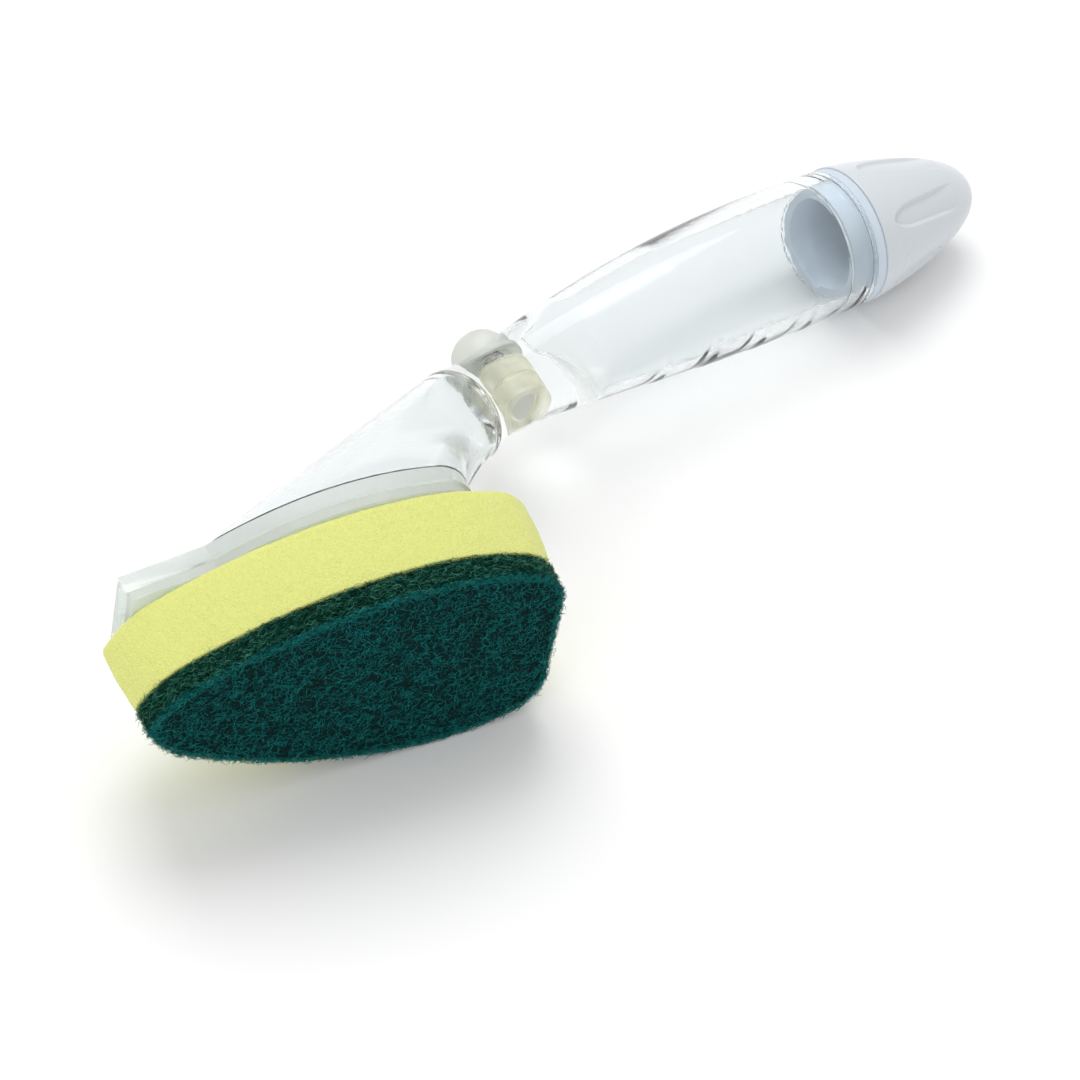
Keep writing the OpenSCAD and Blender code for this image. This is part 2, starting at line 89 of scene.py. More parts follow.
# Places along the handle's axis, from 0 at the fan to 1 at the mouth
HOLLOW_BEND, HOLLOW_END = 0.005, 0.055
NOSE_T, RESERVOIR_END, MOUTH_T = 0.262, 0.93, 0.985

# Reservoir's front, in millimetres
NOSE_R, NOSE_LEN, NOSE_SLOPE, NOSE_RISE = 2.6, 3.2, 0.1, 0.62
OPEN_X, OPEN_LEN = 125.5, 9

# End cap and button, in millimetres
CAP_R, CAP_LEN, CAP_SHOULDER, CAP_ROUND = 16.7, 36.5, 1.2, 0.41
FLUTES, FLUTE_TURN, FLUTE_DEPTH = 6, np.radians(11), 0.8
FLUTE_FROM, FLUTE_TO, FLUTE_FADE, FLUTE_EDGE = 4.4, 27, 9, 0.75
FLUTE_HALF_W, FLUTE_FLARE, FLUTE_END_LEN = 2.9, 0.03, 6.5
BUTTON, BUTTON_TILT = np.array([113.5, 0, 72.6]), np.radians(10)
BUTTON_X = np.array([np.cos(BUTTON_TILT), 0, np.sin(BUTTON_TILT)])
BUTTON_Z = np.array([-np.sin(BUTTON_TILT), 0, np.cos(BUTTON_TILT)])
DOME_R, DOME_FOOT, DOME_RISE, DOME_POWER = 6.8, 9.6, 5.8, 0.7


def upright(points, origin, x_axis, z_axis):
    """Points of a local frame, which shares the upright frame's Y axis, in the upright frame."""
    return points[..., :1] * x_axis + points[..., 1:2] * [0, 1, 0] + points[..., 2:] * z_axis + origin


# Mesh makers

def mesh_piece(name, points, faces):
    """One smooth mesh object from upright points in millimetres and faces, its place in its mesh. The
    faces are turned round together where the volume they enclose comes out negative."""
    points, faces = placed(points), [np.asarray(f) for f in faces]
    quads = [f[[0, 2, 3]] for f in faces if len(f) == 4]
    fans = np.concatenate([np.array([f[[0, 1, 2]] for f in faces]), np.array(quads).reshape(-1, 3)])
    a, b, c = (points[fans[:, k]] for k in range(3))
    if np.einsum("ij,ij->", a, np.cross(b, c)) < 0:
        faces = [f[::-1] for f in faces]
    data = bpy.data.meshes.new(name)
    data.from_pydata(points.tolist(), [], [f.tolist() for f in faces])
    data.update()
    piece = bpy.data.objects.new(name, data)
    bpy.context.scene.collection.objects.link(piece)
    data.polygons.foreach_set("use_smooth", np.ones(len(data.polygons), bool))
    return piece


def grid_faces(rows, cols):
    """Quads of a grid whose columns close on themselves."""
    r, c = np.meshgrid(np.arange(rows - 1), np.arange(cols), indexing="ij")
    a = r * cols + c
    b = r * cols + (c + 1) % cols
    return np.stack([a, b, b + cols, a + cols], -1).reshape(-1, 4)


def closed_tube(rings):
    """Points and faces of rings of equal count, closed by a pole at each end."""
    rows, cols = rings.shape[:2]
    points = np.concatenate([rings.reshape(-1, 3), rings[0].mean(0)[None], rings[-1].mean(0)[None]])
    i = np.arange(cols)
    j, last_row, pole = (i + 1) % cols, (rows - 1) * cols, rows * cols
    first = np.stack([np.full(cols, pole), j, i], -1)
    last = np.stack([np.full(cols, pole + 1), last_row + i, last_row + j], -1)
    return points, [*grid_faces(rows, cols), *first, *last]


def circle(sides):
    """Evenly spaced angles of one full turn."""
    return 2 * np.pi * np.arange(sides) / sides


def smooth_noise(points, size, seed):
    """Sum of fixed waves in random directions: a soft random field of about -1 to 1, whose lumps are about
    as wide as the given size."""
    waves = 14
    rng = np.random.default_rng(seed)
    k = rng.normal(size=(waves, 3)) / size
    phase = rng.uniform(0, 2 * np.pi, waves)
    return np.sin(points @ k.T * 2.2 + phase).sum(-1) / 5


def unit(vectors):
    """Vectors brought to length 1."""
    return vectors / np.linalg.norm(vectors, axis=-1, keepdims=True)


# Handle

def cubic(t):
    """The handle's axis: a cubic curve over its four control points, in (x, z)."""
    t = np.asarray(t, float)[..., None]
    u = 1 - t
    return u ** 3 * AXIS[0] + 3 * u ** 2 * t * AXIS[1] + 3 * u * t * t * AXIS[2] + t ** 3 * AXIS[3]


def cubic_dir(t):
    """The axis curve's unit direction: a square curve over the legs between the control points."""
    t = np.asarray(t, float)[..., None]
    u, leg = 1 - t, AXIS[1:] - AXIS[:-1]
    return unit(u ** 2 * leg[0] + 2 * u * t * leg[1] + t * t * leg[2])


def handle_r(x):
    """Radius of the handle: a flare at the neck, a quarter sine up to the grip, a slight narrowing."""
    neck = NECK_R + NECK_FLARE * np.maximum(0, NECK_X - x) ** 2
    rise = GRIP_RISE * np.sin(np.pi / 2 * np.clip((x - NECK_X) / GRIP_LEN, 0, 1))
    draw = GRIP_DRAW * np.maximum(0, (x - NECK_X - GRIP_LEN) / GRIP_DRAW_LEN) ** 2
    return np.where(x < NECK_X, neck, NECK_R + rise - draw)


def scallop(x, angle):
    """Depth of the finger scallops: a ramp that deepens towards the cap and steps back, below only."""
    under = np.maximum(0, -np.cos(angle) - SCALLOP_EDGE) / (1 - SCALLOP_EDGE)
    place = (x - SCALLOP_FROM + SCALLOP_LEAN * (1 - under)) / SCALLOP_PITCH
    f = place - np.floor(place)
    ramp_in = np.where(f < SCALLOP_RAMP, f / SCALLOP_RAMP, (1 - f) / (1 - SCALLOP_RAMP))
    inside = (x > SCALLOP_FROM) & (x < SCALLOP_TO)
    return np.where(inside, SCALLOP_DEPTH * np.minimum(1, 2 * under) * ramp_in, 0)


def about_axis(t, up, across):
    """Rings about the handle's axis at rows t, from each point's distance up from the axis and across it."""
    c, d = cubic(t), cubic_dir(t)
    return np.stack([c[:, :1] - up * d[:, 1:], across, c[:, 1:] + up * d[:, :1]], -1)


def handle_rings(t, inset, sides, scallops=False):
    """Rings of the handle's outside at rows t, set in from it; angle 0 is the top."""
    x, a = cubic(t)[:, :1], circle(sides)
    r = handle_r(x) - inset - (scallop(x, a) if scallops else 0)
    return about_axis(t, r * np.cos(a), r * np.sin(a))


def rounded(h, from_end, r):
    """Half width h with a round end of radius r."""
    return np.where(from_end < r, h - r + np.sqrt(np.maximum(0, r * r - (r - from_end) ** 2)), h)


def plate_bow(x):
    """Half width of the head plate: a straight tongue, then a parabola."""
    return np.where(x < TONGUE_END, TONGUE_HALF_W + TONGUE_FLARE * (x - TONGUE_X),
                    BOW_HALF_W - BOW_CURVE * (BOW_X - x) ** 2)


def fan_half_w(x):
    """Half width of the fan's foot: the plate's outline with a round front and back."""
    back = rounded(plate_bow(x), FAN_BACK - x, FAN_BACK_R)
    front = rounded(plate_bow(x), x - FAN_FRONT, FAN_FRONT_R)
    return np.maximum(0.2, np.minimum(front, back))


def spread(x0, x1, n):
    """Places from x0 to x1, closer together at the ends: a cosine step."""
    return (x0 + x1) / 2 - (x1 - x0) / 2 * np.cos(np.pi * np.arange(n + 1) / n)


def even(path, n):
    """n points evenly spaced along an open path."""
    run = np.concatenate([[0], np.cumsum(np.linalg.norm(np.diff(path, axis=0), axis=1))])
    s = np.linspace(0, run[-1], n)
    return np.stack([np.interp(s, run, path[:, k]) for k in range(path.shape[1])], -1)


def fan_rings(s, inset, sides):
    """Rings of the fan: each point runs on its own cubic curve from the foot up to the neck. The foot's
    front meets the neck's top, and its back meets the neck's underside."""
    foot_steps = 600
    foot_x = spread(FAN_FRONT, FAN_BACK, foot_steps)
    foot = even(np.stack([foot_x, fan_half_w(foot_x)], -1), 2 * foot_steps + 1)
    half = sides / 2
    i = np.arange(sides)
    f = 1 - np.abs(1 - i / half)
    side = np.where(i < half, 1, -1)
    a = np.pi * f
    at = np.stack([np.interp(f, np.linspace(0, 1, len(foot)), foot[:, k]) for k in (0, 1)], -1)
    k = (1 - inset / np.linalg.norm(at - FAN_MIDDLE, axis=1))[:, None]
    low = FAN_MIDDLE + (at - FAN_MIDDLE) * k
    begin = np.stack([low[:, 0], side * low[:, 1], np.full(sides, HEAD_Z + FAN_GAP)], -1)
    c, d = cubic(0.0), cubic_dir(0.0)
    r = FAN_TOP_R - inset
    end = np.stack([c[0] - r * np.cos(a) * d[1], side * r * np.sin(a), c[1] + r * np.cos(a) * d[0]], -1)
    rise = end - begin
    rise[:, 2] += FAN_LIFT_FRONT * (1 - f) ** 2 + FAN_LIFT_BACK * f * f + FAN_LIFT_SIDES * np.sin(a)
    pull = (FAN_PULL_FRONT + (FAN_PULL_BACK - FAN_PULL_FRONT) * f) * np.linalg.norm(end - begin, axis=1)
    s = np.asarray(s, float)[:, None, None]
    h1, h2, h3 = s ** 3 - 2 * s * s + s, 3 * s * s - 2 * s ** 3, s ** 3 - s * s
    return begin + h2 * (end - begin) + h1 * rise + h3 * pull[:, None] * np.array([d[0], 0, d[1]])


def reservoir_rings(t, sides):
    """Rings of the reservoir: a small round nose that lies high in the handle, a slim throat, and then an
    eased step out to the full bore; each ring is lifted towards the top wall by a share of its shortfall."""
    x, nose, a = cubic(t)[:, :1], cubic(NOSE_T)[0], circle(sides)
    full = np.minimum(handle_r(x) - WALL, SPIGOT_R)
    u, v = np.clip((x - nose) / NOSE_LEN, 0, 1), np.clip((x - OPEN_X) / OPEN_LEN, 0, 1)
    throat = NOSE_R + NOSE_SLOPE * np.maximum(0, x - nose - NOSE_LEN)
    slim = throat * np.sqrt(np.maximum(0, 1 - (1 - u) ** 2))
    r = slim + (full - slim) * v * v * (3 - 2 * v)
    return about_axis(t, NOSE_RISE * (full - r) + r * np.cos(a), r * np.sin(a))


def mouth_ring(inset, back, sides, radius=None):
    """A ring of the handle slid along the mouth's axis on to the plane at a distance back from the mouth,
    and brought to a radius where one is given."""
    ring = handle_rings(np.array([MOUTH_T]), inset, sides)
    ring = ring + ((-back - (ring - MOUTH) @ MOUTH_Z)[..., None]) * MOUTH_Z
    if radius is None:
        return ring
    middle = ring.mean(1, keepdims=True)
    return middle + radius * unit(ring - middle)


def neck_hollow(sides):
    """The round end of the neck's hollow, from its pole out to the neck's bore: its place runs back with a
    cosine while its radius grows with the root of a sine."""
    q = np.linspace(0, 1, 14) * np.pi / 2
    rings = handle_rings(HOLLOW_BEND + (HOLLOW_END - HOLLOW_BEND) * np.cos(q), NECK_WALL, sides)
    middle = rings.mean(1, keepdims=True)
    rings = middle + (rings - middle) * np.sqrt(np.sin(q))[:, None, None]
    rings[0] = middle[0] + (rings[1] - middle[1]) * 0.1
    return rings


def clear_handle():
    """The clear neck, fan and handle as one wall: from the fan's hollow, round its foot, along the
    outside to the mouth, and back inside to the reservoir's nose."""
    sides, fan_in, fan_out, long_rows, bore_rows = 144, 50, 60, 390, 130
    outer = handle_rings(np.linspace(0, 1, long_rows)[1:], 0, sides, scallops=True)
    outer = outer[(outer.mean(1) - MOUTH) @ MOUTH_Z < -COLLAR_BACK - 0.3]
    fit = SPIGOT_R + 0.05
    # Radius and distance from the mouth of the wall's end face and of the bore that takes the spigot
    seat = ((fit + 2.5, COLLAR_BACK), (fit + 0.25, COLLAR_BACK), (fit, COLLAR_BACK),
            (fit, COLLAR_BACK + 0.3), (fit, SPIGOT_LEN - 0.2), (fit, SPIGOT_LEN),
            (SPIGOT_R, SPIGOT_LEN + 0.05))
    t = RESERVOIR_END + (NOSE_T - RESERVOIR_END) * np.sin(np.linspace(0, np.pi / 2, bore_rows))
    rings = np.concatenate([
        neck_hollow(sides), fan_rings(np.linspace(1, 0, fan_in), NECK_WALL, sides),
        fan_rings(np.linspace(0, 1, fan_out), 0, sides), outer, mouth_ring(0.12, COLLAR_BACK, sides),
        *[mouth_ring(3.0, back, sides, radius) for radius, back in seat], reservoir_rings(t, sides)])
    return mesh_piece("clear_handle", *closed_tube(rings))


# Refill

def sponge_half_w(x):
    """Half width of the sponge: two parabolas, with round ends."""
    front = SPONGE_HALF_W - SPONGE_TIP_DRAW * (np.maximum(0, SPONGE_WIDEST - x) / SPONGE_WIDEST) ** 2
    back_len = SPONGE_LEN - SPONGE_WIDEST
    back = SPONGE_HALF_W - SPONGE_BACK_DRAW * (np.maximum(0, x - SPONGE_WIDEST) / back_len) ** 2
    h = np.where(x < SPONGE_WIDEST, front, back)
    tip, end = rounded(h, x, SPONGE_TIP_R), rounded(h, SPONGE_LEN - x, SPONGE_BACK_R)
    return np.maximum(0.0, np.minimum(tip, end))


def sponge_outline(n):
    """n evenly spaced points round the sponge's outline, anticlockwise from the tip."""
    xs = spread(SPONGE_FIRST_X, SPONGE_LEN, 1600)
    lower = np.stack([xs, -sponge_half_w(xs)], -1)
    upper = np.stack([xs[::-1], sponge_half_w(xs[::-1])], -1)
    return even(np.concatenate([lower, upper, lower[:1]]), n + 1)[:-1]


def outline_normal(loop):
    """Outward unit normals of an anticlockwise outline."""
    t = unit(np.roll(loop, -1, 0) - np.roll(loop, 1, 0))
    return np.stack([t[:, 1], -t[:, 0]], -1)


def block(loop, levels, out, rows):
    """A block over an outline: side rows at given heights and offsets, and a bottom and a top that
    shrink on to the spine along the middle. Returns rings of points from the bottom's spine to the top's."""
    normal = outline_normal(loop)
    side = np.stack([np.concatenate([loop + normal * o, np.full((len(loop), 1), z)], -1)
                     for z, o in zip(levels, out)])

    def shrink(row, k):
        mid = row.copy()
        mid[:, 0] = np.clip(row[:, 0], *SPONGE_SPINE)
        mid[:, 1] = 0
        return row[None] * (1 - k)[:, None, None] + mid[None] * k[:, None, None]

    k = np.linspace(1, 0, rows + 1)[:-1]
    return np.concatenate([shrink(side[0], k), side, shrink(side[-1], k[::-1])])


def block_piece(name, rings):
    """Mesh of a block's rings, its bottom and top spines merged shut."""
    piece = mesh_piece(name, rings.reshape(-1, 3), grid_faces(*rings.shape[:2]))
    bm = bmesh.new()
    bm.from_mesh(piece.data)
    bmesh.ops.remove_doubles(bm, verts=bm.verts, dist=1e-6)
    bmesh.ops.dissolve_degenerate(bm, edges=bm.edges, dist=1e-7)
    bmesh.ops.recalc_face_normals(bm, faces=bm.faces)
    bm.to_mesh(piece.data)
    bm.free()
    return piece


def roughened(rings, loop, depth):
    """Rings of a block moved in or out along the outline's normals."""
    normal = np.concatenate([outline_normal(loop), np.zeros((len(loop), 1))], -1)
    return rings + normal[None] * depth[..., None]


def foam():
    """Cut foam block: its side swells under the carrier plate and draws in towards the pad. Its cut face
    has soft waves 2.2 mm long and a pore at each point."""
    loop = sponge_outline(840)
    h = np.linspace(0, 1, 60)
    widening, swell, top_edge = 1.2 * h, 0.5 * np.sin(np.pi * h), 1.3 * np.maximum(0, (h - 0.9) / 0.1) ** 2
    rings = block(loop, PAD_T + FOAM_T * h, widening + swell - top_edge, 14)
    pores = np.clip(np.random.default_rng(5).normal(0, 1, rings.shape[:2]), -2, 1)
    rough = smooth_noise(rings, 2.2, 3) * 0.08 + pores * 0.055
    return block_piece("foam_block", roughened(rings, loop, rough))


def above_floor(points):
    """Points that would be below the table are lifted to just above it."""
    clearance = 0.0002
    low = np.maximum(0, clearance - placed(points)[:, 2]) * 1000
    return points + low[:, None] * LAY[2]


def pad_core():
    """The pad's dense middle, a little inside its outer form, which the fibres stand on. Its side draws in
    at the scrub face, and it is lumpy at the side and on the face."""
    loop = sponge_outline(520)
    h = np.linspace(0, 1, 16)
    bottom, face_z = 0.55, 1.0
    out = -0.9 - 0.8 * (1 - h) ** 4 - 0.25 * h
    rings = block(loop, bottom + (PAD_T - bottom) * h, out, 60)
    rings = roughened(rings, loop, smooth_noise(rings, 1.6, 8) * 0.22)
    rings[..., 2] += np.where(rings[..., 2] < face_z, smooth_noise(rings, 2.0, 9) * 0.16, 0)
    return block_piece("pad_core", above_floor(rings.reshape(-1, 3)).reshape(rings.shape))


def fibre_tubes(name, start, heading, length, bend, radius):
    """Curled fibres: each runs along its heading and winds by two slow random waves; its section is a
    triangle that shrinks to nothing at its ends."""
    n, steps, corners, tiny = len(start), 5, 3, 1e-9
    u = np.linspace(0, 1, steps)
    side = unit(np.cross(heading, [0.3, 0.2, 1.0]))
    up = np.cross(heading, side)
    w1 = bend[:, 0:1] * np.sin(2 * np.pi * bend[:, 1:2] * u + bend[:, 2:3])
    w2 = bend[:, 3:4] * np.sin(2 * np.pi * bend[:, 4:5] * u + bend[:, 5:6])
    line = (start[:, None] + heading[:, None] * (length[:, None] * (u - 0.5))[..., None]
            + side[:, None] * w1[..., None] + up[:, None] * w2[..., None])
    tan = np.gradient(line, axis=1)
    tan /= np.linalg.norm(tan, axis=-1, keepdims=True) + tiny
    e1 = np.cross(tan, up[:, None])
    e1 /= np.linalg.norm(e1, axis=-1, keepdims=True) + tiny
    e2 = np.cross(tan, e1)
    taper = np.sqrt(np.clip(np.minimum(u, 1 - u) * 10, 0.02, 1)) * radius
    a = circle(corners)[:, None]
    arm = np.cos(a) * e1[:, :, None] + np.sin(a) * e2[:, :, None]
    ring = line[:, :, None] + taper[None, :, None, None] * arm
    base = np.arange(n)[:, None, None, None] * steps * corners
    r = np.arange(steps - 1)[None, :, None, None] * corners
    c = np.arange(corners)[None, None, :, None]
    here, beside = base + r + c, base + r + (c + 1) % corners
    quad = np.concatenate([here, beside, beside + corners, here + corners], -1).reshape(-1, 4)
    first = np.arange(n)[:, None] * steps * corners
    ends = np.concatenate([first + np.array([2, 1, 0]), first + (steps - 1) * corners + np.array([0, 1, 2])])
    return mesh_piece(name, above_floor(ring.reshape(-1, 3)), [*quad, *ends])


def random_bends(rng, n, across, outward):
    """Two slow waves for each fibre: amplitude, turns and phase, across the sheet and out of it."""
    def wave(most):
        return [rng.uniform(0.2 * most, most, n), rng.uniform(0.6, 1.7, n), rng.uniform(0, 2 * np.pi, n)]
    return np.stack(wave(across) + wave(outward), -1)


def face_fibres(name, seed, n, low, radius):
    """A layer of fibres, 0.9 mm deep, that lie mostly in the plane of the scrub face; the web has soft
    pits, where the fibres lie deeper."""
    rng = np.random.default_rng(seed)
    x = rng.uniform(1.5, SPONGE_LEN - 0.8, n * 2)
    y = rng.uniform(-26, 26, n * 2)
    inside = np.abs(y) < sponge_half_w(x) - 0.5
    x, y = x[inside][:n], y[inside][:n]
    n = len(x)
    place = np.stack([x, y, x * 0], -1)
    pit = np.clip(smooth_noise(place, 1.1, 21) * 0.6 + smooth_noise(place, 3.1, 22) * 0.3, -0.8, 0.8)
    z = rng.uniform(low, low + 0.9, n) + 0.2 * pit
    angle = rng.uniform(0, 2 * np.pi, n)
    heading = unit(np.stack([np.cos(angle), np.sin(angle), rng.normal(0, 0.12, n)], -1))
    length = rng.uniform(1.4, 3.8, n)
    bends = random_bends(rng, n, 0.5, 0.28)
    return fibre_tubes(name, np.stack([x, y, z], -1), heading, length, bends, radius)


def edge_fibres(name, seed, n, low, high, loose, radius):
    """Fibres round the pad's edge, mostly along it, with a few that stand away from it. Their heights run
    from low to high, as shares of the pad's thickness."""
    rng = np.random.default_rng(seed)
    loop = sponge_outline(4000)
    pick = rng.integers(0, len(loop), n)
    normal = outline_normal(loop)[pick]
    h = rng.uniform(low, high, n)
    out = -0.5 - 2.0 * np.maximum(0, 0.25 - h) + rng.normal(0, loose, n)
    start = np.concatenate([loop[pick] + normal * out[:, None], (0.3 + (PAD_T - 0.4) * h)[:, None]], -1)
    along = unit(np.roll(loop, -1, 0) - loop)[pick]
    across = normal * rng.normal(0, 0.45, n)[:, None]
    heading = unit(np.concatenate([along + across, rng.normal(0, 0.35, n)[:, None]], -1))
    length = rng.uniform(1.0, 2.8, n)
    return fibre_tubes(name, start, heading, length, random_bends(rng, n, 0.4, 0.4), radius)


# End cap and button

def cap_profile(a):
    """Radius of the end cap's outside at a distance from its rim: a power curve, steeper and steeper
    towards the tip."""
    return CAP_R * np.maximum(0, 1 - (a / CAP_LEN) ** CAP_SHOULDER) ** CAP_ROUND


def flute_depth(angle, a):
    """Six shallow pockets with crisp edges: each starts round near the rim, widens towards the tip and
    fades out there. The depth is an eased step in from the pocket's edge."""
    gap = 2 * np.pi / FLUTES
    off = ((angle - FLUTE_TURN) / gap + 0.5) % 1 - 0.5
    arc = np.abs(off) * gap * np.maximum(cap_profile(a), 3)
    along = np.maximum(0, a - FLUTE_FROM)
    round_end = np.sqrt(1 - (1 - np.minimum(1, along / FLUTE_END_LEN)) ** 2)
    half = (FLUTE_HALF_W + FLUTE_FLARE * along) * round_end
    edge = np.clip((half - arc) / FLUTE_EDGE, 0, 1)
    fade = np.clip((FLUTE_TO - a) / FLUTE_FADE, 0, 1)
    return FLUTE_DEPTH * edge * edge * (3 - 2 * edge) * fade * (2 - fade)


def end_cap():
    """The cap's skin: outside with flutes from the tip to the rim, then the inside to its pole."""
    sides, tip_from, rim_to = 384, 28, 3.4
    angle = circle(sides)
    a = np.concatenate([tip_from + (CAP_LEN - tip_from) * np.sin(np.linspace(np.pi / 2, 0, 31))[:-1],
                        np.linspace(tip_from, rim_to, 190)[:-1], np.linspace(rim_to, 0, 10)])
    a[0] = CAP_LEN - 0.002
    outside = np.maximum(cap_profile(a)[:, None] - flute_depth(angle[None], a[:, None]), 0.05)
    # Radius and distance from the rim: the rim, the threaded skirt's bore, then the narrowing hollow
    inside = np.array([(CAP_R - 0.35, 0), (14.65, 0), (14.3, 0.35), (14.3, 10.1), (11.4, 10.1), (9.0, 17.3),
                       (6.5, 25.1), (0.6, 25.1)])
    r = np.concatenate([outside, np.repeat(inside[:, :1], sides, 1)])
    z = np.repeat(np.concatenate([a, inside[:, 1]])[:, None], sides, 1)
    rings = np.stack([r * np.cos(angle), r * np.sin(angle), z], -1)
    return mesh_piece("screw_cap", *closed_tube(upright(rings, MOUTH, MOUTH_X, MOUTH_Z)))


def soap_button():
    """Soft dome on a skirt with a flange, hollow below: a turned profile, outside then inside. The dome's
    radius is a power of a cosine while its height is a sine."""
    q = np.linspace(np.pi / 2, 0, 22)
    dome = np.stack([DOME_R * np.cos(q) ** DOME_POWER, DOME_FOOT + DOME_RISE * np.sin(q)], -1)
    dome[0, 0] = 0.05
    # Radius and height: the skirt with its flange, and the hollow with the stem's socket
    skirt = [(DOME_R, 7.0), (6.82, 6.1), (7.1, 5.9), (7.45, 5.86), (7.5, 5.6), (7.5, 4.8), (7.4, 4.62),
             (5.3, 4.6)]
    hollow = [(5.2, 4.8), (5.2, 9.0), (5.0, 9.3), (1.55, 9.3), (1.55, 13.05), (0.05, 13.1)]
    r, z = np.concatenate([dome, skirt, hollow]).T[..., None]
    a = circle(96)
    rings = np.stack([r * np.cos(a), r * np.sin(a), z + 0 * a], -1)
    return mesh_piece("button_dome", *closed_tube(upright(rings, BUTTON, BUTTON_X, BUTTON_Z)))


# Materials

def material(name, **values):
    """A Principled material with its constants on the shader's own sockets."""
    m = bpy.data.materials.new(name)
    m.use_nodes = True
    shader = m.node_tree.nodes["Principled BSDF"]
    for key, value in values.items():
        shader.inputs[key.replace("_", " ")].default_value = value
    return m, m.node_tree.nodes, m.node_tree.links, shader


def object_texture(nodes, links, kind, scale, detail=None):
    """A noise or cell texture on Object coordinates; its scale counts per metre."""
    where = nodes.new("ShaderNodeTexCoord")
    tex = nodes.new(kind)
    tex.inputs["Scale"].default_value = scale
    if detail is not None:
        tex.inputs["Detail"].default_value = detail
    links.new(where.outputs["Object"], tex.inputs["Vector"])
    return tex


def object_noise(nodes, links, scale, detail):
    """The value of a noise texture on Object coordinates."""
    return object_texture(nodes, links, "ShaderNodeTexNoise", scale, detail).outputs["Fac"]


def ramp(nodes, links, source, stops):
    """A ramp of two colours fed by a value."""
    r = nodes.new("ShaderNodeValToRGB")
    for element, (at, colour) in zip(r.color_ramp.elements, stops):
        element.position, element.color = at, (*colour, 1)
    links.new(source, r.inputs["Fac"])
    return r.outputs["Color"]


def bump(nodes, links, shader, height, strength, distance):
    """Bump from a height, into the shader's normal."""
    b = nodes.new("ShaderNodeBump")
    b.inputs["Strength"].default_value = strength
    b.inputs["Distance"].default_value = distance
    links.new(height, b.inputs["Height"])
    links.new(b.outputs["Normal"], shader.inputs["Normal"])


def plastic(name, colour, roughness, **more):
    """Moulded plastic: a fine flow texture in its roughness and a faint bump."""
    m, nodes, links, shader = material(name, Base_Color=(*colour, 1), Roughness=roughness, **more)
    uneven = nodes.new("ShaderNodeMapRange")
    uneven.inputs["To Min"].default_value = roughness * 0.8
    uneven.inputs["To Max"].default_value = roughness * 1.3
    links.new(object_noise(nodes, links, 180, 4), uneven.inputs["Value"])
    links.new(uneven.outputs["Result"], shader.inputs["Roughness"])
    bump(nodes, links, shader, object_noise(nodes, links, 900, 2), 0.06, 0.0004)
    return m


def clear_plastic(name, colour, roughness, ior, clear, through):
    """Clear moulded plastic with faint flow ripples: it bends what is seen through it, and each wall lets a
    share of the lamps' light straight through, so that what is inside is lit and its shadow is pale."""
    m = plastic(name, colour, roughness, Transmission_Weight=clear, IOR=ior)
    nodes, links = m.node_tree.nodes, m.node_tree.links
    path = nodes.new("ShaderNodeLightPath")
    straight = nodes.new("ShaderNodeBsdfTransparent")
    straight.inputs["Color"].default_value = (through, through, through, 1)
    mix = nodes.new("ShaderNodeMixShader")
    links.new(path.outputs["Is Shadow Ray"], mix.inputs["Fac"])
    links.new(nodes["Principled BSDF"].outputs["BSDF"], mix.inputs[1])
    links.new(straight.outputs["BSDF"], mix.inputs[2])
    links.new(mix.outputs["Shader"], nodes["Material Output"].inputs["Surface"])
    return m


def foam_material():
    """Fine open-cell foam: pale yellow cell walls over pores painted darker as painted shade, soft light
    inside it.
    """
    m, nodes, links, shader = material("foam_yellow", Roughness=0.85, Subsurface_Weight=0.35,
                                       Subsurface_Radius=(0.9, 0.8, 0.25), Subsurface_Scale=0.004,
                                       Sheen_Weight=0.15)
    cells = object_texture(nodes, links, "ShaderNodeTexVoronoi", 2300).outputs["Distance"]
    mix = nodes.new("ShaderNodeMath")
    mix.operation = "MULTIPLY_ADD"
    links.new(object_noise(nodes, links, 70, 5), mix.inputs[0])
    mix.inputs[1].default_value = 0.35
    links.new(cells, mix.inputs[2])
    # The colour is darker at the cells' middles, the pores: painted shade in the pores, over a random tone
    # from the noise.
    colours = ramp(nodes, links, mix.outputs[0],
                   [(0.08, (0.54, 0.567, 0.104)), (0.50, (0.735, 0.763, 0.235))])
    links.new(colours, shader.inputs["Base Color"])
    bump(nodes, links, shader, cells, 0.55, 0.0005)
    return m


def fibre_material(name, dark, light, roughness):
    """Dyed nylon fibre, its green deeper in some places and lighter in others."""
    m, nodes, links, shader = material(name, Roughness=roughness, Specular_IOR_Level=0.1)
    colours = ramp(nodes, links, object_noise(nodes, links, 1500, 6), [(0.38, dark), (0.64, light)])
    links.new(colours, shader.inputs["Base Color"])
    bump(nodes, links, shader, object_noise(nodes, links, 4000, 2), 0.3, 0.0002)
    return m


# Clear plastics: colour, roughness, index of refraction, clearness, share of light let straight through
CLEAR = clear_plastic("clear_plastic", (0.93, 0.955, 0.96), 0.03, 1.28, 0.98, 0.72)
PLATE = clear_plastic("clear_plate", (0.93, 0.97, 0.95), 0.2, 1.25, 0.6, 0.8)
COLLAR = clear_plastic("collar_plastic", (0.76, 0.84, 0.92), 0.3, 1.12, 0.3, 0.92)
CARRIER = clear_plastic("carrier_plastic", (0.92, 0.96, 0.93), 0.2, 1.25, 0.6, 0.8)
MILKY = clear_plastic("milky_silicone", (0.88, 0.90, 0.85), 0.4, 1.3, 0.5, 0.7)
CREAM = clear_plastic("cream_plastic", (0.97, 0.965, 0.87), 0.7, 1.06, 0.75, 0.9)
SEAL = clear_plastic("seal_silicone", (0.97, 0.965, 0.88), 0.7, 1.06, 0.75, 0.9)

CAP = plastic("cap_white", (0.63, 0.665, 0.70), 0.28)
WHITE = plastic("white_plastic", (0.82, 0.82, 0.79), 0.35)
STEEL = plastic("spring_steel", (0.55, 0.55, 0.55), 0.25, Metallic=1.0)
FOAM = foam_material()
